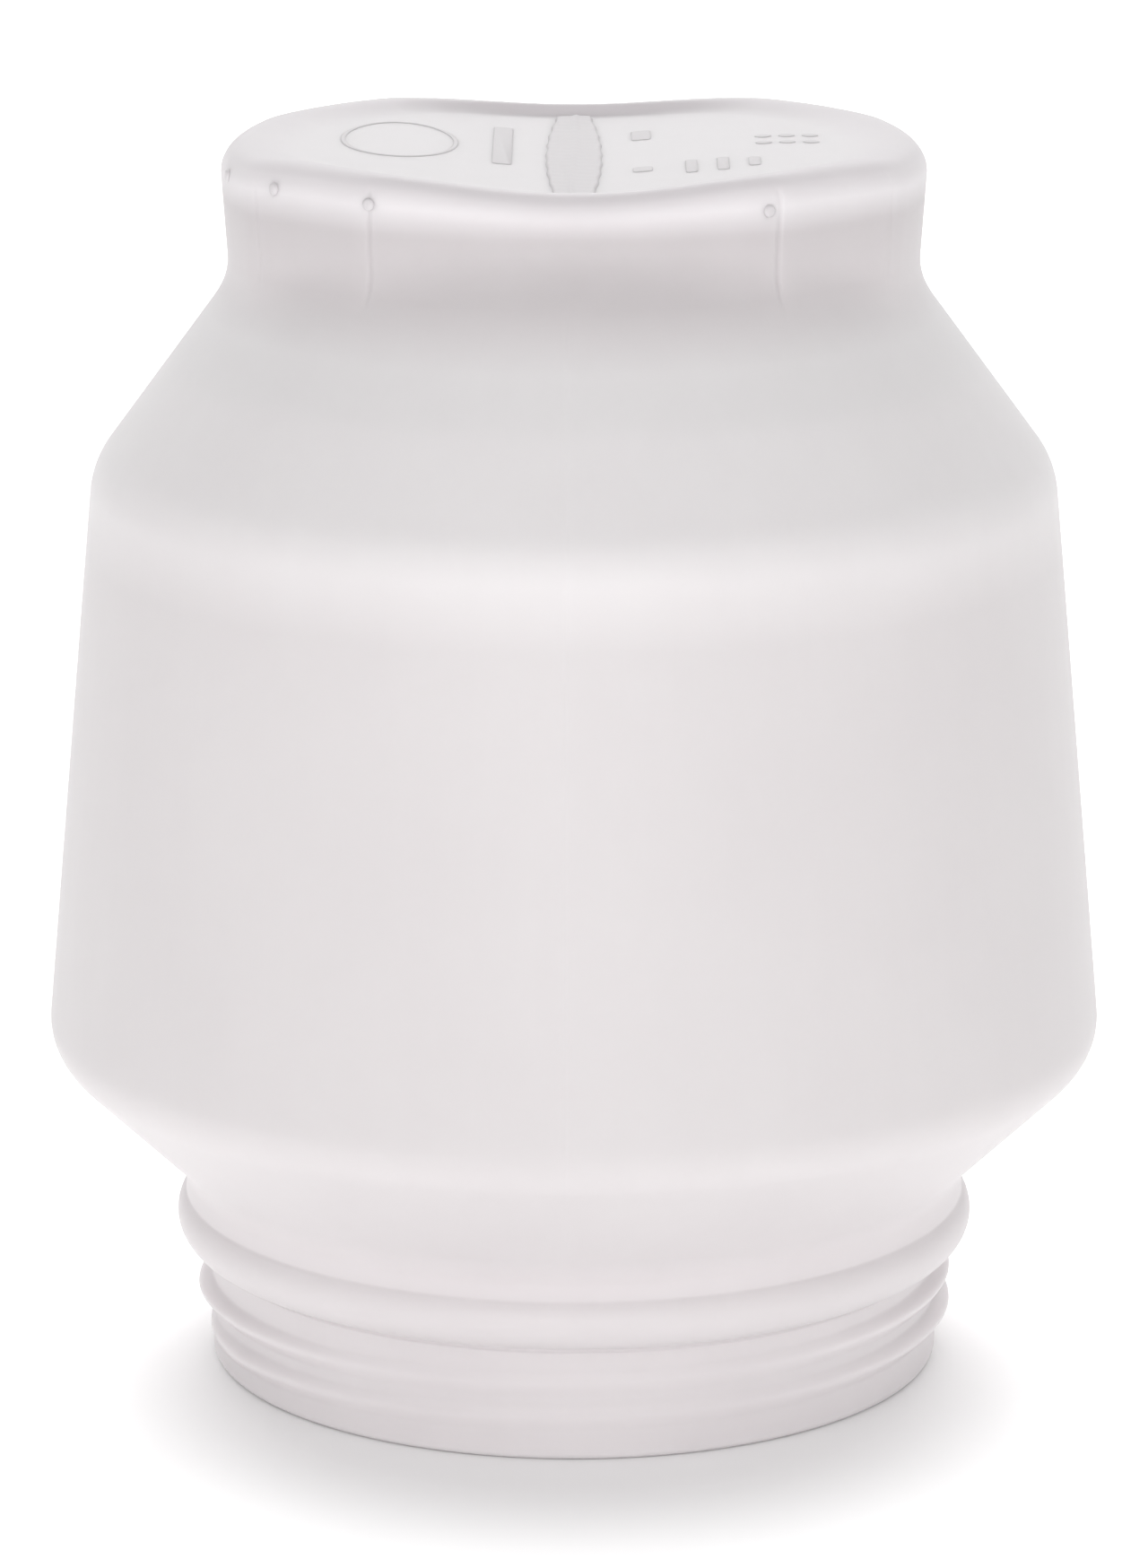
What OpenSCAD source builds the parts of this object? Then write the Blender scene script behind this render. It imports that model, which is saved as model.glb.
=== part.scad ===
// Wide-mouth screw jar, one gallon, stored on its mouth with the grip knob up.
// The origin is the centre of the mouth rim, on the surface that the rim rests on.
// +Z points up to the closed end, and the front is -Y.
// The real jar is one blow-moulded piece. Here its wall is made zone by zone, and the
// zones meet face to face. What stands on the wall is made as solids of its own.

/* [Jar] */
// Widest diameter, at the belly
jar_d = 190; // [160:1:220]
// Height from the mouth rim to the rim of the grip knob
jar_h = 224; // [220:1:240]
// Wall thickness of the body and the knob
wall = 1.6; // [1.2:0.1:2]

/* [Neck] */
// Outside diameter of the plain neck
neck_d = 132.6; // [128:0.1:136]
// Wall thickness of the neck
neck_wall = 2; // [1.6:0.1:2.4]
// Height from the rim to the crease where the neck meets the body
neck_h = 32; // [28:1:34]
// Radius of the half-round bead around the neck
bead_r = 5.4; // [4:0.1:5.6]

/* [Thread] */
// Rise of the thread in one turn
thread_pitch = 6.35; // [5:0.05:6.5]
// Number of turns
thread_turns = 2; // [1.25:0.25:2]
// How far the thread stands out from the neck
thread_depth = 2.6; // [1.5:0.1:3]
// Height of the thread's lower end above the rim
thread_start = 6.2; // [5:0.1:6.5]

/* [Body] */
// Height of the belly corner above the rim
belly_z = 60; // [56:1:66]
// Diameter of the barrel at its upper corner
barrel_top_d = 171.8; // [160:0.2:176]
// Height of the barrel's upper corner
barrel_top_z = 165; // [155:1:170]

/* [Grip knob] */
// Diameter at the foot of the knob
knob_foot_d = 122; // [118:1:126]
// Height of the foot of the knob
knob_foot_z = 198.8; // [194:0.2:200]
// Diameter at the rim of the knob
knob_top_d = 125.4; // [123:0.2:128]
// Distance from the axis to the middle of each finger panel
panel_y = 53.7; // [52:0.1:55]
// Radius of the gentle curve of the finger panels, seen from above
panel_arc_r = 85; // [80:1:100]
// Distance from the axis to the middle of each corner facet
facet_d = 58.3; // [57.8:0.1:59]
// Depth of the shallow channel that runs front to back over the top
saddle_depth = 2.3; // [1.8:0.1:2.8]
// Depth of the round recessed base panel inside the rim
recess_depth = 2; // [1.5:0.1:2.5]

/* [Moulded marks] */
// Length of the weld pad across the base panel
weld_l = 91; // [80:1:91]
// Width of the weld pad at its middle
weld_w = 10; // [6:0.5:12]
// Height of the weld pad above the base panel
weld_t = 0.6; // [0.4:0.1:0.8]
// Height of the plain marks above the base panel
mark_t = 0.4; // [0.3:0.1:0.6]
// Radius of the round vent marks on the knob
vent_r = 1.2; // [0.8:0.1:1.5]

/* [Hidden] */
$fn = 96;
fine = 1440;                           // sides of the widest arcs
face_fn = 240;                         // sides of the panels' and facets' arcs
over = 1;                              // how far a cut runs past a face
arc_steps = 10;                        // straight steps in a rounded corner of an outline
milky = [0.91, 0.89, 0.89];            // colours of the plastic, thin, on the thread and thick
thread_milky = [0.87, 0.85, 0.85];
thick_milky = [0.84, 0.82, 0.82];
neck_r = neck_d / 2;
bore_r = neck_r - neck_wall;
bead_z = neck_h - bead_r;
bead_sink = 0.8;                       // how far outside the neck wall the bead is centred
crease_fillet = 1;
belly_r = jar_d / 2 + 0.4;             // the fillet takes the sharp corner back to the radius
belly_fillet = 10;
barrel_fillet = 16;
foot_fillet = 13.5;
rim_fillet = 5;
lip_round = 0.5;
knob_low_z = knob_foot_z - 5;          // where the knob's zone starts, below its foot's fillet
saddle_half_w = 32;                    // from the middle of the channel to its crest
saddle_r = (saddle_half_w * saddle_half_w + saddle_depth * saddle_depth) / (2 * saddle_depth);
saddle_l = 2 * jar_d;
panel_z = jar_h - saddle_depth - recess_depth;      // base panel, at the axis
recess_r = 46.5;                       // radius of the base panel, at the foot of its step
recess_slope = 1.5;                    // how far the step widens for each mm that it rises
facet_turn = 51.75;                    // angle of a corner facet from the X axis
facet_arc_r = 150;
// Faces cut into the round knob: angle from +X, distance from the axis, arc radius
knob_faces = [
    [90, panel_y, panel_arc_r],
    [-90, panel_y, panel_arc_r],
    [facet_turn, facet_d, facet_arc_r],
    [180 - facet_turn, facet_d, facet_arc_r],
    [180 + facet_turn, facet_d, facet_arc_r],
    [-facet_turn, facet_d, facet_arc_r]
];
face_arc_steps = 5;
face_low_z = knob_foot_z + 12.2;       // lower end of a face's straight stretch
face_low_r = 12;                       // hollow curve from a face out to the upper cone
face_low_turn = 42;
face_high_r = 5;                       // rounding of a face into the rim
face_high_z = jar_h - saddle_depth - face_high_r;
face_high_turn = 55;
face_reach = 16;                       // how far the cut runs on past its two curves
weld_end_w = 5;
weld_line_w = 0.8;
weld_line_t = 0.4;
weld_chord = (weld_w - weld_end_w) / 2;
weld_arc_r = (weld_l * weld_l / 4 + weld_chord * weld_chord) / (2 * weld_chord);
thread_ring_steps = 40;                // rings in one turn of the thread
thread_root_w = 5;                     // height of the thread where it meets the neck
thread_crest_w = 2.2;                  // height of the thread's rounded crest
thread_runout = 30;                    // angle over which each end fades into the neck
thread_phase = 180;                    // angle at which the thread starts, from +X
thread_sink = 0.6;
mark_oval_at = [-31, 8];
mark_oval = [10, 18.5];                // half width and half length
mark_oval_w = 0.9;
mark_oval_sides = 64;
mark_dot_r = 1.5;
mark_dots = [for (x = [33.6, 37.8, 42], y = [3.5, 10.5]) [x, y]];
// Plain bars: centre, then width and length
mark_bars = [
    [-12.7, 10, 3.4, 40],
    [12, 21.5, 3.4, 10],
    [12, -15.5, 3.4, 5],
    [20.5, -16.5, 2, 13],
    [26, -16.5, 2, 13],
    [31.5, -16, 2, 9]
];
vent_t = 0.6;                          // how far a vent mark stands out of the wall
// Vent marks on the knob's faces: angle from +X, height, index of the face
face_vents = [
    [-148.8, jar_h - 4.6, 4],
    [-127.3, jar_h - 4.8, 1],
    [-54.5, jar_h - 5.8, 1]
];
round_vent = [-166, knob_top_d / 2 - 0.3, jar_h - 5.5];    // angle, wall radius, height

// Distance from the axis to a face of the knob, at an angle and below its rounded top
function face_distance(face, angle) =
    let (c = face[1] - face[2],
         turn = angle - face[0])
    c * cos(turn) + sqrt(face[2] * face[2] - c * c * sin(turn) * sin(turn));
// How far a face leans back at a height in its rounded top
function face_lean(z) = asin(max(0, z - face_high_z) / face_high_r);

// Corners of the body from the neck crease to the axis: radius, height, fillet.
// They start at radius r, and a fillet is negative where the corner is hollow.
function body_corners(r) = [
    [r, neck_h - 2 * bead_r, 0],
    [r, neck_h, -crease_fillet],
    [belly_r, belly_z, belly_fillet],
    [barrel_top_d / 2, barrel_top_z, barrel_fillet],
    [knob_foot_d / 2, knob_foot_z, -foot_fillet],
    [knob_top_d / 2, jar_h, rim_fillet],
    [0, jar_h, 0]
];

function unit(v) = v / norm(v);
function flat(c) = [c[0], c[1]];
// Normal of the line from a to b that points towards the inside of the jar
function inward(a, b) = let (d = unit(b - a)) [-d[1], d[0]];
// Corner of the line a-b-c after both of its legs move inward by w
function inset_corner(a, b, c, w) =
    let (n = inward(a, b), m = inward(b, c))
    b + w * (n + m) / (1 + n * m);
// All corners moved inward by w, with their fillets kept concentric
function inset_corners(k, w) = [
    for (i = [0 : len(k) - 1])
        let (b = flat(k[i]),
             a = i == 0 ? b - [0, 1] : flat(k[i - 1]),
             c = i == len(k) - 1 ? b - [1, 0] : flat(k[i + 1]),
             q = inset_corner(a, b, c, w))
        [q[0], q[1], k[i][2] == 0 ? 0 : k[i][2] - w]
];
// Points of the arc that rounds the corner a-b-c with radius r
function round_corner(a, b, c, r) =
    let (u = unit(a - b),
         v = unit(c - b),
         half = acos(u * v) / 2,
         centre = b + unit(u + v) * r / sin(half),
         from = b + u * r / tan(half) - centre,
         to = b + v * r / tan(half) - centre,
         start = atan2(from[1], from[0]),
         turn = atan2(from[0] * to[1] - from[1] * to[0], from * to))
    [for (i = [0 : arc_steps])
        let (t = start + turn * i / arc_steps)
        centre + r * [cos(t), sin(t)]];
function rounded(k) = [
    for (i = [0 : len(k) - 1])
        let (r = abs(k[i][2]))
        each r == 0 ? [flat(k[i])]
            : round_corner(flat(k[i - 1]), flat(k[i]), flat(k[i + 1]), r)
];

// Half section of the space that the body fills, or of the space inside its wall
module body_section(inside) {
    w = inside ? wall : 0;
    r = inside ? bore_r + wall : neck_r;
    polygon(concat([[0, neck_h - 2 * bead_r]], rounded(inset_corners(body_corners(r), w))));
}

// The wall of the body between two heights
module body_zone(low, high) {
    rotate_extrude()
        intersection() {
            difference() {
                body_section(false);
                body_section(true);
            }
            translate([0, low])
                square([jar_d, high - low]);
        }
}

// Outline of the cut of one face, as distance from the face's own axis and height.
// The face has arc radius arc_r and is moved inward by w.
function face_outline(arc_r, w) =
    let (r = arc_r - w,
         low = face_low_r + w,
         high = face_high_r - w,
         low_arc = [for (i = [face_arc_steps : -1 : 0])
             let (t = face_low_turn * i / face_arc_steps)
             [r + low * (1 - cos(t)), face_low_z - low * sin(t)]],
         high_arc = [for (i = [0 : face_arc_steps])
             let (t = face_high_turn * i / face_arc_steps)
             [r - high * (1 - cos(t)), face_high_z + high * sin(t)]],
         low_end = low_arc[0] + face_reach * [sin(face_low_turn), -cos(face_low_turn)],
         high_end = high_arc[face_arc_steps]
             + face_reach * [-sin(face_high_turn), cos(face_high_turn)])
    concat([low_end], low_arc, high_arc, [high_end], [[low_end[0], high_end[1]]]);

// The cut of one of the knob's faces
module face_cut(face, w) {
    from_axis = face[1] - face[2];
    translate([from_axis * cos(face[0]), from_axis * sin(face[0]), 0])
        rotate_extrude($fn = face_fn)
            polygon(face_outline(face[2], w));
}

// The air above the saddle-shaped top, lowered by w
module saddle_air(w) {
    translate([0, 0, jar_h - saddle_depth - w + saddle_r])
        rotate([90, 0, 0])
            cylinder(r = saddle_r, h = saddle_l, center = true, $fn = fine);
}

// The air above the base panel if it went down to w below the jar's top
module panel_air(w) {
    saddle_air(w);
    translate([0, 0, jar_h - w])
        cylinder(r = jar_d, h = jar_h);
}

// The air in the round recess of the base panel, grown by w
module recess_air(w) {
    foot_z = panel_z - w;
    rise = jar_h - foot_z + over;
    intersection() {
        translate([0, 0, foot_z])
            cylinder(r1 = recess_r + w, r2 = recess_r + w + rise * recess_slope, h = rise);
        panel_air(recess_depth + w);
    }
}

// Everything that is cut from the revolved form to shape the grip knob
module knob_cuts(w) {
    for (face = knob_faces)
        face_cut(face, w);
    saddle_air(w);
    recess_air(w);
}

// Neck with its flat rim, and the half-round bead moulded out of its wall
module neck() {
    color(milky)
        rotate_extrude()
            difference() {
                union() {
                    polygon([
                        [bore_r + lip_round, 0],
                        [neck_r - lip_round, 0],
                        [neck_r, lip_round],
                        [neck_r, neck_h],
                        [bore_r, neck_h],
                        [bore_r, lip_round]
                    ]);
                    translate([neck_r + bead_sink, bead_z])
                        circle(r = bead_r);
                }
                translate([neck_r + bead_sink, bead_z])
                    circle(r = bead_r - wall);
                translate([bore_r - 2 * bead_r, bead_z - bead_r])
                    square(2 * bead_r);
            }
}

// Cone that widens from the neck to the belly
module neck_cone() {
    color(milky) body_zone(neck_h, belly_z);
}

// Long, slightly tapered wall between the belly and the upper corner
module barrel() {
    color(milky) body_zone(belly_z, barrel_top_z);
}

// Cone that narrows from the barrel to the knob
module upper_cone() {
    color(milky) body_zone(barrel_top_z, knob_low_z);
}

// Closed end of the jar, with two finger panels, a saddle top and a recessed base panel
module grip_knob() {
    color(milky)
        difference() {
            intersection() {
                rotate_extrude() body_section(false);
                translate([0, 0, knob_low_z])
                    cylinder(r = jar_d, h = jar_h);
            }
            knob_cuts(0);
            difference() {
                rotate_extrude() body_section(true);
                knob_cuts(wall);
            }
        }
}

function fade(t) = min(1, t / thread_runout, (360 * thread_turns - t) / thread_runout);
// The four-sided section of the thread after it has turned through t degrees
function thread_ring(t) =
    let (a = t + thread_phase,
         z = thread_start + thread_pitch * t / 360,
         r = neck_r - thread_sink,
         crest = neck_r + thread_depth * fade(t),
         spin = [cos(a), sin(a)])
    [
        [r * spin[0], r * spin[1], z - thread_root_w / 2],
        [crest * spin[0], crest * spin[1], z - thread_crest_w / 2],
        [crest * spin[0], crest * spin[1], z + thread_crest_w / 2],
        [r * spin[0], r * spin[1], z + thread_root_w / 2]
    ];

// Raised screw thread, open to the side, that starts near the rim
module neck_thread() {
    rings = thread_turns * thread_ring_steps;
    sides = 4;
    points = [for (i = [0 : rings]) each thread_ring(360 * i / thread_ring_steps)];
    skin = [
        for (i = [0 : rings - 1], j = [0 : sides - 1])
            let (a = i * sides + j,
                 b = i * sides + (j + 1) % sides)
            each [[a, b, b + sides], [a, b + sides, a + sides]]
    ];
    first = [[3, 2, 1], [3, 1, 0]];
    last = [for (f = [[0, 1, 2], [0, 2, 3]]) f + rings * sides * [1, 1, 1]];
    color(thread_milky)
        difference() {
            polyhedron(points, concat(skin, first, last));
            translate([0, 0, -over])
                cylinder(r = neck_r, h = neck_h, $fn = fine);
        }
}

// A flat mark of height t that stands on the curved base panel
module on_panel(at, t) {
    intersection() {
        translate([at[0], at[1], panel_z])
            linear_extrude(saddle_depth + 2 * recess_depth)
                children();
        difference() {
            panel_air(recess_depth);
            panel_air(recess_depth - t);
        }
    }
}

// Outline of the weld pad: two wide arcs, cut off square at the ends
module weld_outline() {
    intersection() {
        weld_side(-1);
        weld_side(1);
        square([weld_w, weld_l], center = true);
    }
}

// The wide disc whose arc is one long edge of the weld pad
module weld_side(side) {
    translate([side * (weld_arc_r - weld_w / 2), 0])
        circle(r = weld_arc_r, $fn = fine);
}

// Lens-shaped pad that the mould pinches shut, with the weld line along it
module pinch_off_weld() {
    color(thick_milky) {
        on_panel([0, 0], weld_t)
            weld_outline();
        on_panel([0, 0], weld_t + weld_line_t)
            square([weld_line_w, weld_l], center = true);
    }
}

// Outline of the oval mark, grown by w
module oval(w) {
    polygon([
        for (i = [1 : mark_oval_sides])
            let (t = 360 * i / mark_oval_sides)
            [(mark_oval[0] + w) * cos(t), (mark_oval[1] + w) * sin(t)]
    ]);
}

// Plain marks with no lettering: an oval, bars and dots
module base_marks() {
    color(thick_milky) {
        on_panel(mark_oval_at, mark_t)
            difference() {
                oval(mark_oval_w / 2);
                oval(-mark_oval_w / 2);
            }
        for (bar = mark_bars)
            on_panel([bar[0], bar[1]], mark_t)
                square([bar[2], bar[3]], center = true);
        for (at = mark_dots)
            on_panel(at, mark_t)
                circle(r = mark_dot_r);
    }
}

// A round pin through the wall, at an angle, a distance from the axis and a height.
// It leans back with the wall and ends vent_t outside it.
module vent_pin(angle, distance, z, lean) {
    rotate([0, 0, angle])
        translate([distance, 0, z])
            rotate([0, 90 - lean, 0])
                translate([0, 0, -over])
                    cylinder(r = vent_r, h = over + vent_t);
}

// Small round marks that the mould's vents leave high on the knob
module vent_marks() {
    color(thick_milky) {
        for (vent = face_vents) {
            face = knob_faces[vent[2]];
            lean = face_lean(vent[1]);
            distance = face_distance(face, vent[0]) - face_high_r * (1 - cos(lean));
            intersection() {
                vent_pin(vent[0], distance, vent[1], lean);
                face_cut(face, 0);
            }
        }
        difference() {
            vent_pin(round_vent[0], round_vent[1], round_vent[2], 0);
            rotate_extrude($fn = fine) body_section(false);
        }
    }
}

neck();
neck_cone();
barrel();
upper_cone();
grip_knob();
neck_thread();
pinch_off_weld();
base_marks();
vent_marks();
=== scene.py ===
"""A translucent blow-moulded jar, standing on its wide screw mouth.

The jar's wall is one mesh, outside and inside, built ring by ring from the same
dimensions as the CAD model. Lengths in the tables below are in millimetres, and
mesh() turns them into metres. Angles run from +X, in degrees.
"""
import math

import bpy
import numpy as np
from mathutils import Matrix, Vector


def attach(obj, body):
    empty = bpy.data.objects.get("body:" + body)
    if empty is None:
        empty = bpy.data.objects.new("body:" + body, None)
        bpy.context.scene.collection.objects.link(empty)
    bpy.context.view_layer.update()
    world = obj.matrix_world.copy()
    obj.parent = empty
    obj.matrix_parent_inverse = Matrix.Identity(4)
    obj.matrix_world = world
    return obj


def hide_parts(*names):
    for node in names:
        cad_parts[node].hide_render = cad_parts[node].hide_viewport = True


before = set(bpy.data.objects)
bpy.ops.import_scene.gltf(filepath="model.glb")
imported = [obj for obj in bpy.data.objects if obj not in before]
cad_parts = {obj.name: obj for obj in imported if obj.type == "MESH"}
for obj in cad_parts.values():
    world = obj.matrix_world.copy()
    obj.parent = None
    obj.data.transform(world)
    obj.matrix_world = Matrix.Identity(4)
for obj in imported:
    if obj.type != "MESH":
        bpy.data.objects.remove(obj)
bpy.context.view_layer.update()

MM = 0.001

# Neck, from the rim up
NECK_R = 66.3
NECK_WALL = 2.0
NECK_H = 32.0
LIP_ROUND = 1.4
LIP_INNER_ROUND = 0.5
BEAD_R = 5.4
BEAD_SINK = 0.8
BEAD_HOLLOW = 3.0
CREASE_HOLLOW = 3.0
CREASE_FLOOR_R = 70.9
CREASE_TOP_Z = 42.0
NECK_STEP = 0.3
CREASE_STEP = 0.5
CREASE_LOW_Z = 20
# Thread
PITCH = 6.35
TURNS = 2.0
THREAD_DEPTH = 2.6
THREAD_START = 6.2
THREAD_HALF_H = 2.5
THREAD_PHASE = 180.0
THREAD_FADE = 30.0
THREAD_AT_SEAM = 0.1
# Body
WALL = 1.6
JAR_H = 223.98
BELLY = (95.4, 60.0)
BARREL_TOP = (85.9, 165.0)
KNOB_FOOT = (61.0, 198.8)
KNOB_TOP_R = 62.75
BELLY_FILLET = 10.0
BARREL_FILLET = 16.0
# Grip knob
KNOB_PLAN_R = 62.8
KNOB_LOW_Z = 186.0
FOOT_SOFT = 3.6
RIM_FILLET = 4.8
RECESS = 2.0
RECESS_R = 46.5
SADDLE_DEPTH = 2.35
SADDLE_HALF_W = 41.0
END_DROP = 1.3
SADDLE_SHARPNESS = 1.15
# Hollow of the finger panels: its depth, the middle and spread of its height, and
# the cosine of the angle at which it ends
PANEL_HOLLOW = 0.5
HOLLOW_Z = 210
HOLLOW_SPREAD = 5.5
HOLLOW_END_COS = 0.56
# Faces of the knob: angle of the middle, distance from the axis, arc radius
PANEL = (54.0, 85.0)
FACET = (58.6, 150.0)
FACET_TURN = 51.75
CREASE_SOFT = 0.5
CORNER_SOFT = 1.0
# Vent marks: angle and height of each, and the radius and lift of a dome's loops
VENTS = ((-166, 219), (-148.8, 219.4), (-127.3, 219.2), (-54.5, 218.2))
DOME_SECTION = ((1.1, -0.6), (1.1, 0.0), (1.0, 0.25), (0.7, 0.38), (0.3, 0.42))
# Fine lines up the wall: angles, depth or height, and half width in degrees
CREASE_ANGLES = (-127.4, -52.6, 52.6, 127.4)
CREASE_LINE = (-0.20, 0.5)
CORNER_ANGLES = (-153.5, -26.5, 26.5, 153.5)
CORNER_LINE = (-0.10, 0.45)
PARTING_ANGLES = (-90.9, 89.1)
PARTING_LINE = (0.04, 0.22)
# Heights between which the knob's lines appear, and the parting line goes
LINES_LOW_Z = 199
LINES_SPAN = 6
# Painted light and shade by height: a tint that darkens the plastic at each height, set to
# how light the jar looks there; the knob's wall gets the most painted shade, and the top a
# faint cool painted reflection
PAINTED_LIGHT_AND_SHADE_BY_HEIGHT = (
    (0.0, (0.87, 0.865, 0.867)),
    (30.0, (0.85, 0.845, 0.847)),
    (62.0, (0.83, 0.83, 0.828)),
    (150.0, (0.835, 0.835, 0.833)),
    (166.0, (1.0, 1.0, 0.998)),
    (193.0, (1.0, 1.0, 1.0)),
    (203.0, (0.77, 0.762, 0.765)),
    (214.0, (0.70, 0.692, 0.696)),
    (218.5, (0.92, 0.925, 0.932)),
)
# Painted shade on the knob's rim: its colour is darkened by this where the attribute rim is 1
RIM_PAINTED_SHADE = (0.90, 0.895, 0.90)


def unit(v):
    """The vector's direction, with length 1."""
    return v / np.linalg.norm(v)


def fillet(a, b, c, radius, steps):
    """Points of the arc that rounds the corner a-b-c of an outline."""
    a, b, c = (np.array(p, float) for p in (a, b, c))
    u, v = unit(a - b), unit(c - b)
    half = math.acos(u @ v) / 2
    centre = b + unit(u + v) * radius / math.sin(half)
    start = b + u * radius / math.tan(half) - centre
    end = b + v * radius / math.tan(half) - centre
    turn = math.atan2(start[0] * end[1] - start[1] * end[0], start @ end)
    first = math.atan2(start[1], start[0])
    angles = first + turn * np.linspace(0, 1, steps + 1)
    return [tuple(centre + radius * np.array([math.cos(t), math.sin(t)])) for t in angles]


def line(a, b, steps):
    """Points between a and b, without the two ends."""
    a, b = np.array(a, float), np.array(b, float)
    return [tuple(a + (b - a) * i / steps) for i in range(1, steps)]


def body_outline(inset):
    """Radius and height up the body, from the neck crease to just below the knob."""
    crease = (NECK_R, NECK_H)
    low = (cone_radius(KNOB_LOW_Z), KNOB_LOW_Z)
    belly = fillet(crease, BELLY, BARREL_TOP, BELLY_FILLET, 12)
    barrel = fillet(BELLY, BARREL_TOP, low, BARREL_FILLET, 12)
    points = [p for p in line(crease, belly[0], 14) if inset or p[1] > CREASE_TOP_Z]
    points += belly + line(belly[-1], barrel[0], 26)
    points += barrel + line(barrel[-1], low, 8) + [low]
    if not inset:
        return points
    p = np.array(points)
    along = np.gradient(p, axis=0)
    along /= np.linalg.norm(along, axis=1)[:, None]
    return [tuple(q) for q in p + inset * np.column_stack([-along[:, 1], along[:, 0]])]


def cone_radius(z):
    """Radius of the upper cone, carried on up through the knob."""
    share = (z - BARREL_TOP[1]) / (KNOB_FOOT[1] - BARREL_TOP[1])
    return BARREL_TOP[0] + share * (KNOB_FOOT[0] - BARREL_TOP[0])


def neck_outline():
    """Radius and height up the outside of the neck, from its rounded rim to the crease."""
    inner = NECK_R - NECK_WALL
    lip = [(inner + LIP_INNER_ROUND, 0.0), (NECK_R - LIP_ROUND, 0.0)]
    lip += fillet((inner, 0.0), (NECK_R, 0.0), (NECK_R, NECK_H), LIP_ROUND, 5)[1:]
    plain = np.arange(LIP_ROUND + NECK_STEP, CREASE_LOW_Z, NECK_STEP)
    heights = np.concatenate([plain, np.arange(CREASE_LOW_Z, CREASE_TOP_Z, CREASE_STEP)])
    return lip + [(neck_radius(z), z) for z in heights]


def neck_radius(z):
    """Radius of the plain neck, swelling softly into the bead and then into the cone."""
    up = (z - (NECK_H - BEAD_R)) / BEAD_R
    bead = NECK_R + BEAD_SINK + BEAD_R * math.sqrt(max(0, 1 - up * up)) if abs(up) < 1 else 0
    if up < 0:
        return -float(smooth_min(-NECK_R, -bead, BEAD_HOLLOW))
    cone = NECK_R + (BELLY[0] - NECK_R) * (z - NECK_H) / (BELLY[1] - NECK_H)
    return -float(smooth_min(-max(bead, CREASE_FLOOR_R), -cone, CREASE_HOLLOW))


def smooth_min(a, b, soft):
    """The smaller of two values, rounded off where they are about equal."""
    h = np.clip(0.5 + 0.5 * (b - a) / soft, 0, 1)
    return b + (a - b) * h - soft * h * (1 - h)


def face_radius(theta, angle, face):
    """Distance from the axis to the arc of a face of the knob, seen from above."""
    distance, arc_r = face
    c = (distance - arc_r) * np.cos(theta - math.radians(angle))
    return c + np.sqrt(c * c - (distance - arc_r) ** 2 + arc_r**2)


def knob_plan(theta):
    """Radius of the knob's wall at an angle, high up on it."""
    plan = np.full_like(theta, KNOB_PLAN_R)
    for angle in (FACET_TURN, 180 - FACET_TURN, 180 + FACET_TURN, -FACET_TURN):
        plan = smooth_min(plan, face_radius(theta, angle, FACET), CORNER_SOFT)
    for angle in (90, -90):
        plan = smooth_min(plan, face_radius(theta, angle, PANEL), CREASE_SOFT)
    return plan


def knob_radius(theta, z):
    """Radius of the outside of the knob and of the cone that it grows out of."""
    rise = (z - KNOB_FOOT[1]) / (JAR_H - KNOB_FOOT[1])
    lean = (KNOB_FOOT[0] + rise * (KNOB_TOP_R - KNOB_FOOT[0])) / KNOB_TOP_R
    front = np.clip(1 - (np.cos(theta) / HOLLOW_END_COS) ** 2, 0, 1)
    hollow = PANEL_HOLLOW * front * np.exp(-(((z - HOLLOW_Z) / HOLLOW_SPREAD) ** 2))
    wall = knob_plan(theta) * lean - hollow
    return -smooth_min(-wall, -cone_radius(z), FOOT_SOFT)


def saddle(x):
    """Height of the knob's rim: a channel across the middle, and ends that fall away."""
    a = np.abs(x)
    dip = (1 + np.cos(np.pi * np.minimum(a / SADDLE_HALF_W, 1))) / 2
    fall = np.maximum(a - SADDLE_HALF_W, 0) / (KNOB_TOP_R - SADDLE_HALF_W)
    return JAR_H - SADDLE_DEPTH * dip**SADDLE_SHARPNESS - END_DROP * fall**2


def thread_height(theta, z):
    """How far the thread stands out of the neck. It is shallow where the mould parts."""
    out = np.zeros_like(theta)
    turned = np.mod(np.degrees(theta) - THREAD_PHASE, 360)
    for turn in range(int(TURNS)):
        t = turned + 360 * turn
        away = np.abs(z - THREAD_START - PITCH * t / 360) / THREAD_HALF_H
        ends = np.minimum(1, np.minimum(t, 360 * TURNS - t) / THREAD_FADE)
        bump = np.clip(1 - away, 0, 1)
        bump = bump * bump * (3 - 2 * bump)
        out = np.maximum(out, THREAD_DEPTH * ends * bump)
    return out * (THREAD_AT_SEAM + (1 - THREAD_AT_SEAM) * np.cos(theta) ** 4)


def wave(theta, centre, half_width):
    """A smooth bump of height 1 around an angle in degrees."""
    away = np.degrees(np.angle(np.exp(1j * (theta - math.radians(centre)))))
    return np.exp(-((away / half_width) ** 2))


def column_angles():
    """Angles of the mesh's columns, closer together at each fine line."""
    angles = list(np.arange(0, 360, 1.0))
    for centre, reach, step in (
        [(a, 3.0, 0.2) for a in CREASE_ANGLES]
        + [(a, 2.4, 0.2) for a in CORNER_ANGLES]
        + [(a, 0.8, 0.1) for a in PARTING_ANGLES]
    ):
        angles = [x for x in angles if abs((x - centre + 180) % 360 - 180) > reach]
        angles += list(centre + np.arange(-reach, reach + step / 2, step))
    return np.radians(np.sort(np.mod(angles, 360)))


def fine_lines(theta, knob):
    """Small creases of the knob, and the line where the two mould halves meet."""
    out = np.zeros_like(theta)
    for angles, (height, half_width), share in (
        (CREASE_ANGLES, CREASE_LINE, knob),
        (CORNER_ANGLES, CORNER_LINE, knob),
        (PARTING_ANGLES, PARTING_LINE, 1 - knob),
    ):
        for a in angles:
            out += height * share * wave(theta, a, half_width)
    return out


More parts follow.
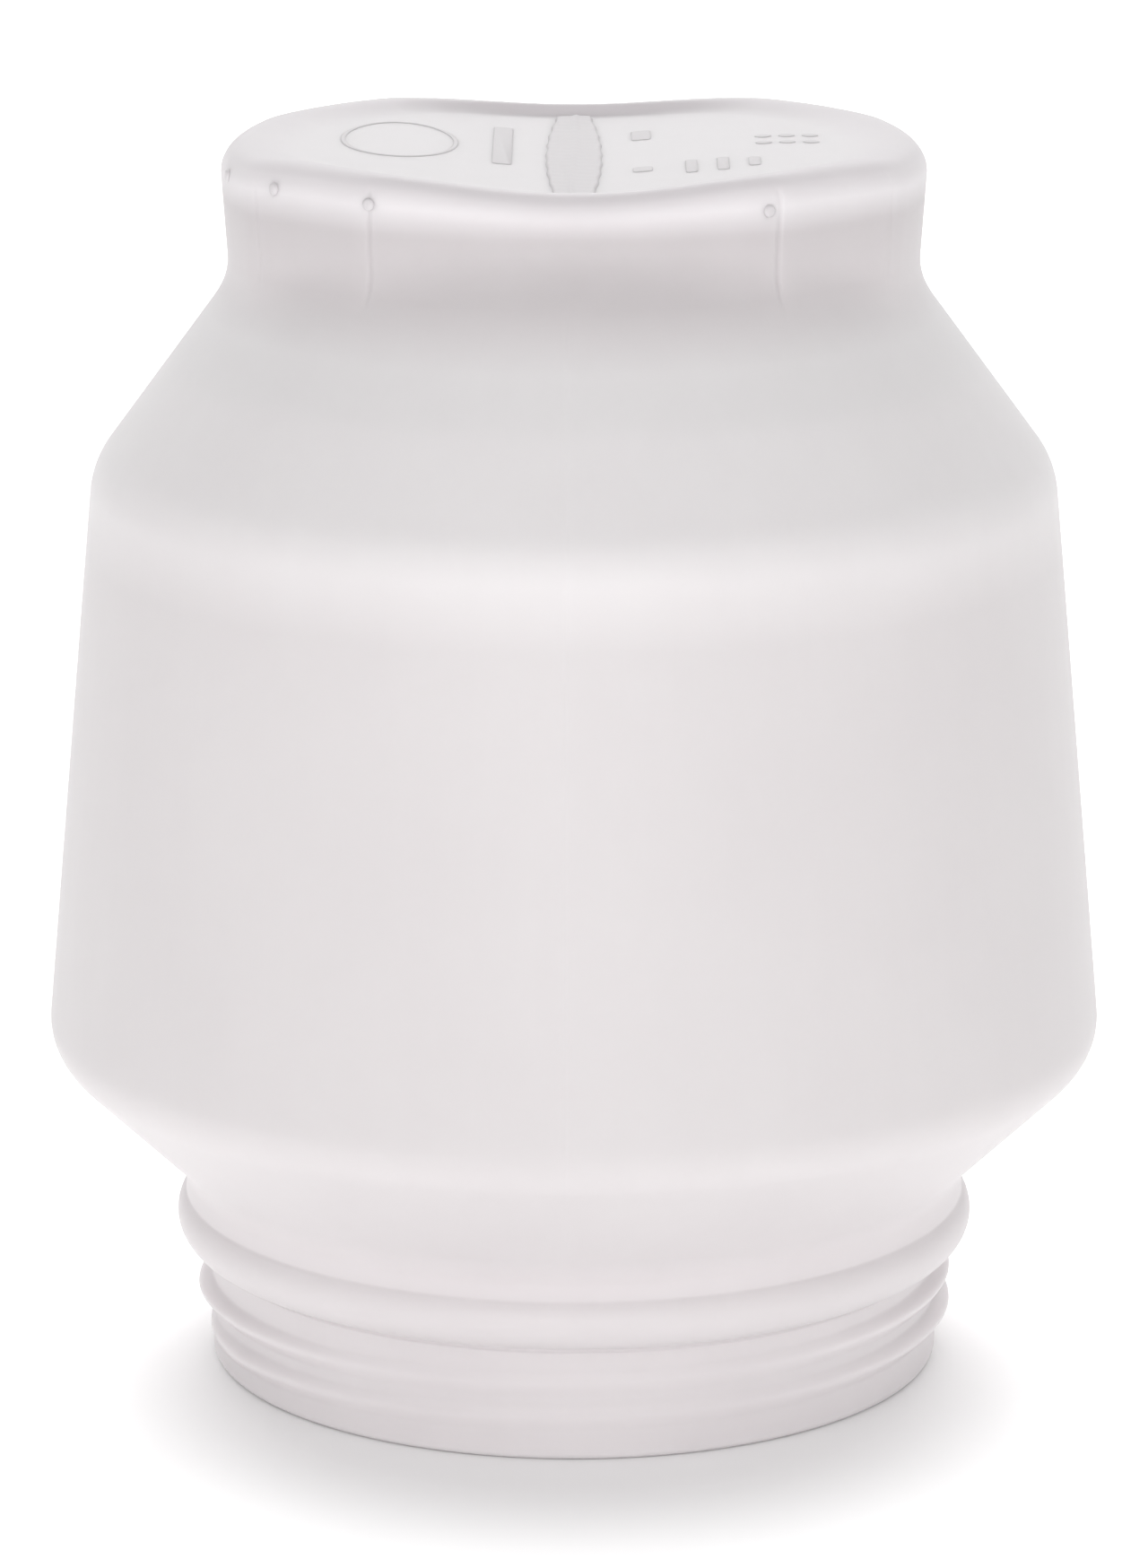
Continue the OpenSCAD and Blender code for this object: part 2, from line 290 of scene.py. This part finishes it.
def knob_share(z):
    """0 on the cone, 1 on the knob's wall, where its creases show."""
    t = np.clip((z - LINES_LOW_Z) / LINES_SPAN, 0, 1)
    return t * t * (3 - 2 * t)


def ring(radius, theta, z):
    """One closed row of points round the axis."""
    return np.column_stack([radius * np.cos(theta), radius * np.sin(theta), z + 0 * theta])


def outer_rings(theta):
    """The outside, ring by ring, from the flat of the rim to near the middle of the top."""
    rings = []
    for r, z in neck_outline():
        rings.append(ring(r + thread_height(theta, z) * (z > LIP_ROUND), theta, z))
    for r, z in body_outline(0):
        rings.append(ring(r + fine_lines(theta, 0), theta, z))
    rim = KNOB_PLAN_R * np.cos(theta)
    rim = saddle(rim * knob_plan(theta) / KNOB_PLAN_R) - RIM_FILLET
    for t in np.linspace(0, 1, 31)[1:]:
        z = KNOB_LOW_Z + t * (rim - KNOB_LOW_Z)
        rings.append(ring(knob_radius(theta, z) + fine_lines(theta, knob_share(z)), theta, z))
    wall = knob_radius(theta, rim)
    for t in np.radians(np.linspace(0, 90, 11))[1:]:
        inset = RIM_FILLET * (1 - math.cos(t))
        radius = wall - inset + fine_lines(theta, 1.0) * max(0, 1 - inset / 2)
        drop = RIM_FILLET * (1 - math.sin(t))
        rings.append(ring(radius, theta, saddle(radius * np.cos(theta)) - drop))
    crest = wall - RIM_FILLET
    for t in np.linspace(0, 1, 11)[1:]:
        radius = crest + t * (RECESS_R - crest)
        drop = RECESS * t * t * (3 - 2 * t)
        rings.append(ring(radius, theta, saddle(radius * np.cos(theta)) - drop))
    for share in np.linspace(1, 0, 16)[1:-1]:
        radius = RECESS_R * share + 0 * theta
        rings.append(ring(radius, theta, saddle(radius * np.cos(theta)) - RECESS))
    return rings


def inner_rings(theta):
    """The inside, ring by ring, from the rim up to near the middle of the top."""
    inner = NECK_R - NECK_WALL
    bead_z = NECK_H - BEAD_R
    groove_r = BEAD_R - WALL
    centre_r = NECK_R + BEAD_SINK
    rise = math.sqrt(groove_r**2 - (centre_r - inner) ** 2)
    first = math.atan2(-rise, inner - centre_r)
    rows = [(inner + 0.15, 0.15), (inner, LIP_INNER_ROUND)]
    rows += line((inner, LIP_INNER_ROUND), (inner, bead_z - rise), 8)
    rows += [
        (centre_r + groove_r * math.cos(t), bead_z + groove_r * math.sin(t))
        for t in np.linspace(first, -first, 13)
    ]
    rows += [(inner + 0.1, NECK_H + 0.4)]
    rows += [p for p in body_outline(WALL) if p[1] > NECK_H + 2][::2]
    rings = [ring(r + 0 * theta, theta, z) for r, z in rows]
    fillet_r = RIM_FILLET - WALL
    rim = saddle(knob_plan(theta) * np.cos(theta)) - RECESS - WALL - fillet_r
    start = rows[-1][1] + 1
    for t in np.linspace(0, 1, 15):
        z = start + t * (rim - start)
        rings.append(ring(knob_radius(theta, z) - WALL, theta, z))
    wall = knob_radius(theta, rim) - WALL
    for t in np.radians(np.linspace(0, 90, 7))[1:]:
        radius = wall - fillet_r * (1 - math.cos(t))
        drop = RECESS + WALL + fillet_r * (1 - math.sin(t))
        rings.append(ring(radius, theta, saddle(radius * np.cos(theta)) - drop))
    for share in np.linspace(1, 0, 10)[1:-1]:
        radius = (wall - fillet_r) * share
        rings.append(ring(radius, theta, saddle(radius * np.cos(theta)) - RECESS - WALL))
    return rings


def mesh(name, points, faces, material):
    """A smooth-shaded object from points in millimetres."""
    data = bpy.data.meshes.new(name)
    data.from_pydata([tuple(p) for p in np.array(points) * MM], [], faces)
    data.validate()
    data.shade_smooth()
    data.materials.append(material)
    obj = bpy.data.objects.new(name, data)
    bpy.context.scene.collection.objects.link(obj)
    return obj


def band(start_a, start_b, count):
    """Quads between two closed rings of count points."""
    return [
        (start_a + i, start_a + (i + 1) % count, start_b + (i + 1) % count, start_b + i)
        for i in range(count)
    ]


def jar_wall(material):
    """The whole wall as one closed mesh: inside and outside, joined at the lip."""
    theta = column_angles()
    n = len(theta)
    outside, inside = outer_rings(theta), inner_rings(theta)
    rings = inside[::-1] + outside
    points = np.vstack(rings)
    faces = []
    for i in range(len(rings) - 1):
        faces += band(i * n, (i + 1) * n, n)
    centre_z = float(saddle(np.array(0.0)))
    low, high = len(points), len(points) + 1
    points = np.vstack(
        [points, [0, 0, centre_z - RECESS - WALL], [0, 0, centre_z - RECESS]]
    )
    last = (len(rings) - 1) * n
    faces += [(low, (i + 1) % n, i) for i in range(n)]
    faces += [(high, last + i, last + (i + 1) % n) for i in range(n)]
    jar = mesh("jar", points, faces, material)
    # The attribute rim is 1 on the knob's rim above the base panel, where the plastic gets
    # painted shade
    rim = jar.data.attributes.new("rim", "FLOAT", "POINT")
    above_panel = points[:, 2] - saddle(points[:, 0]) + RECESS
    rim.data.foreach_set("value", np.clip(above_panel / RECESS, 0, 1))
    return jar


def panel_z(x):
    """Height of the base panel."""
    return saddle(x) - RECESS


def plateau(loops):
    """Points and faces of a closed solid from loops of equal length, capped at both ends."""
    n = len(loops[0])
    points = np.vstack(loops)
    faces = []
    for i in range(len(loops) - 1):
        faces += band(i * n, (i + 1) * n, n)
    faces.append(tuple(range(n))[::-1])
    faces.append(tuple(range((len(loops) - 1) * n, len(loops) * n)))
    return points, faces


def join(name, solids, material):
    """One object from several (points, faces) solids."""
    points, faces, start = [], [], 0
    for p, f in solids:
        points.append(p)
        faces += [tuple(i + start for i in face) for face in f]
        start += len(p)
    return mesh(name, np.vstack(points), faces, material)


def raised(outline, height, edge):
    """A flat-topped mark with rounded edges that follows the base panel."""
    outline = np.array(outline, float)
    centre = outline.mean(0)
    span = np.abs(outline - centre).max()
    loops = []
    for inset, lift in ((0, -0.3), (0, 0), (0.3 * edge, 0.7 * height), (edge, height)):
        p = centre + (outline - centre) * (1 - inset / span)
        loops.append(np.column_stack([p, panel_z(p[:, 0]) + lift]))
    return plateau(loops)


def rectangle(at, size, corner=0.8, steps=4):
    """Outline of a rectangle with rounded corners."""
    points = []
    for k, (sx, sy) in enumerate(((1, 1), (-1, 1), (-1, -1), (1, -1))):
        for t in np.radians(90 * k + np.linspace(0, 90, steps + 1)):
            x = at[0] + sx * (size[0] / 2 - corner) + corner * math.cos(t)
            y = at[1] + sy * (size[1] / 2 - corner) + corner * math.sin(t)
            points.append((x, y))
    return points


def circle(at, radius, steps=32):
    """Outline of a circle."""
    return [
        (at[0] + radius * math.cos(t), at[1] + radius * math.sin(t))
        for t in np.linspace(0, 2 * math.pi, steps, endpoint=False)
    ]


def raised_oval(at, half_w, half_l, width, height):
    """A rounded oval ring on the base panel."""
    steps = 96
    section = ((-0.5, -0.3), (-0.5, 0.4), (-0.25, 1), (0.25, 1), (0.5, 0.4), (0.5, -0.3))
    points, faces = [], []
    m = len(section)
    for i in range(steps):
        t = 2 * math.pi * i / steps
        for across, up in section:
            x = at[0] + (half_w + across * width) * math.cos(t)
            y = at[1] + (half_l + across * width) * math.sin(t)
            points.append((x, y, float(panel_z(np.array(x))) + up * height))
    for i in range(steps):
        for j in range(m):
            a, b = i * m + j, i * m + (j + 1) % m
            c, d = ((i + 1) % steps) * m + (j + 1) % m, ((i + 1) % steps) * m + j
            faces.append((a, d, c, b))
    return np.array(points), faces


def base_marks(material):
    """Plain marks with no lettering: an oval, bars and dots."""
    height = 0.16
    solids = [raised_oval((-31, 8), 10, 18.5, 0.9, height)]
    for x, y, w, l in (
        (-12.7, 10, 3.4, 40),
        (12, 21.5, 3.4, 10),
        (12, -15.5, 3.4, 5),
        (20.5, -16.5, 2, 13),
        (26, -16.5, 2, 13),
        (31.5, -16, 2, 9),
    ):
        solids.append(raised(rectangle((x, y), (w, l)), height, 0.25))
    for x in (33.6, 37.8, 42):
        for y in (3.5, 10.5):
            solids.append(raised(circle((x, y), 1.5), height, 0.3))
    return join("base_marks_detail", solids, material)


def weld_pad(material):
    """The lens-shaped pad, with a weld line along it that wanders slightly."""
    length, middle_w, end_w, height, line_h = 91.0, 10.0, 6.0, 0.5, 0.3
    rows, columns = 121, 25
    top, bottom = [], []
    for y in np.linspace(-length / 2, length / 2, rows):
        t = y / (length / 2)
        half = (end_w + (middle_w - end_w) * (1 - t * t)) / 2 + 0.12 * math.sin(0.61 * y)
        end = min(1, (1 - abs(t)) * length / 2 / 0.8)
        wander = 0.012 * y + 0.25 * math.sin(0.09 * y + 0.7) + 0.12 * math.sin(0.43 * y)
        for u in np.linspace(-1, 1, columns):
            u = math.copysign(abs(u) ** 0.8, u)
            x = half * u
            edge = min(1, (1 - abs(u)) * half / 0.5)
            ridge = math.exp(-(((x - wander) / 0.42) ** 2))
            ripple = 0.05 * math.sin(1.7 * y + 2 * u) * edge
            up = height * math.sqrt(edge * end) + line_h * ridge * end + ripple * end
            base = float(panel_z(np.array(x)))
            top.append((x, y, base + up - 0.05))
            bottom.append((x, y, base - 0.35))
    n = rows * columns
    faces = []
    for i in range(rows - 1):
        for j in range(columns - 1):
            a = i * columns + j
            faces.append((a, a + 1, a + columns + 1, a + columns))
            faces.append((n + a, n + a + columns, n + a + columns + 1, n + a + 1))
    edge = [j for j in range(columns)]
    edge += [(i + 1) * columns - 1 for i in range(1, rows)]
    edge += [(rows - 1) * columns + j for j in range(columns - 2, -1, -1)]
    edge += [i * columns for i in range(rows - 2, 0, -1)]
    for a, b in zip(edge, edge[1:] + edge[:1]):
        faces.append((b, a, n + a, n + b))
    return mesh("weld_pad", np.array(top + bottom), faces, material)


def vent_marks(material):
    """Small domes on the knob's wall."""
    solids = []
    for angle, z in VENTS:
        t = math.radians(angle)
        out = np.array([math.cos(t), math.sin(t), 0])
        side = np.array([-math.sin(t), math.cos(t), 0])
        up = np.array([0, 0, 1.0])
        wall_r = float(knob_radius(np.array([t]), z)[0])
        rounded_z = z - (float(saddle(np.array(wall_r * math.cos(t)))) - RIM_FILLET)
        if rounded_z > 0:
            wall_r -= RIM_FILLET - math.sqrt(RIM_FILLET**2 - rounded_z**2)
        loops = []
        for radius, lift in DOME_SECTION:
            middle = (wall_r + lift) * out + z * up
            around = np.linspace(0, 2 * math.pi, 20, endpoint=False)
            loops.append(
                [middle + radius * (math.cos(a) * side + math.sin(a) * up) for a in around]
            )
        solids.append(plateau(loops))
    return join("vent_marks_detail", solids, material)


def polyethylene(name, light, dark, roughness, scatter):
    """Milky polyethylene: soft scattering, faint mottle and flow lines, a satin skin, and
    painted light and shade by height and on the knob's rim.
    """
    material = bpy.data.materials.new(name)
    material.use_nodes = True
    nodes, links = material.node_tree.nodes, material.node_tree.links
    shader = nodes["Principled BSDF"]
    shader.inputs["Subsurface Weight"].default_value = scatter
    shader.inputs["Subsurface Radius"].default_value = (1.0, 1.0, 1.0)
    shader.inputs["Subsurface Scale"].default_value = 0.003
    shader.inputs["IOR"].default_value = 1.5
    place = nodes.new("ShaderNodeTexCoord")
    mottle = nodes.new("ShaderNodeTexNoise")
    mottle.inputs["Scale"].default_value = 28
    mottle.inputs["Detail"].default_value = 3
    links.new(place.outputs["Object"], mottle.inputs["Vector"])
    stretch = nodes.new("ShaderNodeMapping")
    stretch.inputs["Scale"].default_value = (160, 160, 6)
    links.new(place.outputs["Object"], stretch.inputs["Vector"])
    flow = nodes.new("ShaderNodeTexNoise")
    flow.inputs["Scale"].default_value = 1
    flow.inputs["Detail"].default_value = 2
    links.new(stretch.outputs["Vector"], flow.inputs["Vector"])
    both = nodes.new("ShaderNodeMath")
    both.operation = "MULTIPLY_ADD"
    both.inputs[1].default_value = 0.3
    links.new(flow.outputs["Fac"], both.inputs[0])
    links.new(mottle.outputs["Fac"], both.inputs[2])
    ramp = nodes.new("ShaderNodeValToRGB")
    ramp.color_ramp.elements[0].position = 0.45
    ramp.color_ramp.elements[0].color = (*dark, 1)
    ramp.color_ramp.elements[1].position = 0.85
    ramp.color_ramp.elements[1].color = (*light, 1)
    links.new(both.outputs["Value"], ramp.inputs["Fac"])
    split = nodes.new("ShaderNodeSeparateXYZ")
    links.new(place.outputs["Object"], split.inputs["Vector"])
    height = nodes.new("ShaderNodeMapRange")
    height.inputs["From Max"].default_value = JAR_H * MM
    links.new(split.outputs["Z"], height.inputs["Value"])
    # Painted light and shade: the colour is multiplied by a tint looked up by height
    painted_height_shade = nodes.new("ShaderNodeValToRGB")
    stops = painted_height_shade.color_ramp.elements
    for _ in range(len(PAINTED_LIGHT_AND_SHADE_BY_HEIGHT) - 2):
        stops.new(0.5)
    for stop, (z, tint) in zip(stops, PAINTED_LIGHT_AND_SHADE_BY_HEIGHT):
        stop.position = z / JAR_H
        stop.color = (*tint, 1)
    links.new(height.outputs["Result"], painted_height_shade.inputs["Fac"])
    tinted = nodes.new("ShaderNodeMix")
    tinted.data_type = "RGBA"
    tinted.blend_type = "MULTIPLY"
    tinted.inputs["Factor"].default_value = 1
    links.new(ramp.outputs["Color"], tinted.inputs["A"])
    links.new(painted_height_shade.outputs["Color"], tinted.inputs["B"])
    # Painted shade on the knob's rim
    rim = nodes.new("ShaderNodeAttribute")
    rim.attribute_name = "rim"
    rim_shaded = nodes.new("ShaderNodeMix")
    rim_shaded.data_type = "RGBA"
    rim_shaded.blend_type = "MULTIPLY"
    rim_shaded.inputs["B"].default_value = (*RIM_PAINTED_SHADE, 1)
    links.new(rim.outputs["Fac"], rim_shaded.inputs["Factor"])
    links.new(tinted.outputs["Result"], rim_shaded.inputs["A"])
    links.new(rim_shaded.outputs["Result"], shader.inputs["Base Color"])
    rough = nodes.new("ShaderNodeMapRange")
    rough.inputs["To Min"].default_value = roughness - 0.05
    rough.inputs["To Max"].default_value = roughness + 0.07
    links.new(mottle.outputs["Fac"], rough.inputs["Value"])
    links.new(rough.outputs["Result"], shader.inputs["Roughness"])
    grain = nodes.new("ShaderNodeTexNoise")
    grain.inputs["Scale"].default_value = 420
    grain.inputs["Detail"].default_value = 2
    links.new(place.outputs["Object"], grain.inputs["Vector"])
    skin = nodes.new("ShaderNodeMath")
    skin.operation = "MULTIPLY_ADD"
    skin.inputs[1].default_value = 0.35
    links.new(grain.outputs["Fac"], skin.inputs[0])
    links.new(flow.outputs["Fac"], skin.inputs[2])
    bump = nodes.new("ShaderNodeBump")
    bump.inputs["Strength"].default_value = 0.25
    bump.inputs["Distance"].default_value = 0.0002
    links.new(skin.outputs["Value"], bump.inputs["Height"])
    links.new(bump.outputs["Normal"], shader.inputs["Normal"])
    return material


def floor():
    """A plain white floor that glows away from the jar: painted light that burns it out to
    white, and a painted shadow round the jar.
    """
    bpy.ops.mesh.primitive_plane_add(size=12, location=(0, 0, 0))
    plane = bpy.context.object
    plane.name = "floor"
    material = bpy.data.materials.new("floor_white")
    material.use_nodes = True
    shader = material.node_tree.nodes["Principled BSDF"]
    shader.inputs["Base Color"].default_value = (0.97, 0.97, 0.97, 1)
    shader.inputs["Roughness"].default_value = 0.9
    shader.inputs["Specular IOR Level"].default_value = 0.1
    shader.inputs["Emission Color"].default_value = (1, 1, 1, 1)
    nodes, links = material.node_tree.nodes, material.node_tree.links
    # Painted shadow: no glow within 56 mm of a point 20 mm in front of the jar's axis, rising
    # smoothly to full glow at 105 mm
    place = nodes.new("ShaderNodeTexCoord")
    distance = nodes.new("ShaderNodeVectorMath")
    distance.operation = "DISTANCE"
    distance.inputs[1].default_value = (0, -0.02, 0)
    links.new(place.outputs["Object"], distance.inputs[0])
    painted_glow = nodes.new("ShaderNodeMapRange")
    painted_glow.interpolation_type = "SMOOTHSTEP"
    painted_glow.inputs["From Min"].default_value = 0.056
    painted_glow.inputs["From Max"].default_value = 0.105
    painted_glow.inputs["To Max"].default_value = 0.45
    links.new(distance.outputs["Value"], painted_glow.inputs["Value"])
    links.new(painted_glow.outputs["Result"], shader.inputs["Emission Strength"])
    plane.data.materials.append(material)


def softbox(name, location, size, power, target=(0, 0, 0.11)):
    """A rectangular area light that faces the jar's middle."""
    light = bpy.data.lights.new(name, "AREA")
    light.shape = "RECTANGLE"
    light.size, light.size_y = size
    light.energy = power
    obj = bpy.data.objects.new(name, light)
    obj.location = location
    aim = Vector(target) - Vector(location)
    obj.rotation_euler = aim.to_track_quat("-Z", "Y").to_euler()
    bpy.context.scene.collection.objects.link(obj)


def studio():
    """A white tent, brighter in front and behind than at its sides, and two soft boxes."""
    world = bpy.data.worlds.new("studio")
    world.use_nodes = True
    background = world.node_tree.nodes["Background"]
    background.inputs["Color"].default_value = (1, 1, 1, 1)
    nodes, links = world.node_tree.nodes, world.node_tree.links
    place = nodes.new("ShaderNodeTexCoord")
    split = nodes.new("ShaderNodeSeparateXYZ")
    links.new(place.outputs["Generated"], split.inputs["Vector"])
    square = nodes.new("ShaderNodeMath")
    square.operation = "MULTIPLY"
    links.new(split.outputs["Y"], square.inputs[0])
    links.new(split.outputs["Y"], square.inputs[1])
    strength = nodes.new("ShaderNodeMapRange")
    strength.inputs["To Min"].default_value = 0.38
    strength.inputs["To Max"].default_value = 1.17
    links.new(square.outputs["Value"], strength.inputs["Value"])
    links.new(strength.outputs["Result"], background.inputs["Strength"])
    bpy.context.scene.world = world
    softbox("back_softbox", (0.0, 1.5, 1.4), (2.4, 1.2), 18)
    softbox("front_softbox", (-0.12, -2.2, 0.45), (1.8, 0.8), 11)
    bpy.context.scene.view_settings.view_transform = "Standard"


def camera():
    """The photograph's viewing angle: a long lens, tilted down at the jar."""
    distance, height, tilt = 1.2398, 0.4230, 14.363
    data = bpy.data.cameras.new("camera")
    data.sensor_fit = "HORIZONTAL"
    data.sensor_width = 36
    data.lens = 222.15
    obj = bpy.data.objects.new("camera", data)
    obj.location = (0, -distance, height)
    obj.rotation_euler = (math.radians(90 - tilt), 0, 0)
    bpy.context.scene.collection.objects.link(obj)
    bpy.context.scene.camera = obj


camera()
floor()
studio()

plastic = polyethylene(
    "jar_polyethylene", (0.875, 0.835, 0.845), (0.855, 0.814, 0.825), 0.48, 0.9
)
raised_plastic = polyethylene(
    "raised_polyethylene", (0.76, 0.725, 0.735), (0.74, 0.705, 0.715), 0.5, 0.0
)

for piece, nodes, slot in (
    (
        jar_wall(plastic),
        ("neck", "neck_cone", "barrel", "upper_cone", "grip_knob", "neck_thread"),
        "jar_plastic",
    ),
    (weld_pad(raised_plastic), ("pinch_off_weld",), "moulded_marks"),
    (base_marks(raised_plastic), ("base_marks",), "moulded_marks"),
    (vent_marks(raised_plastic), ("vent_marks",), "moulded_marks"),
):
    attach(piece, "root")
    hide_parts(*nodes)
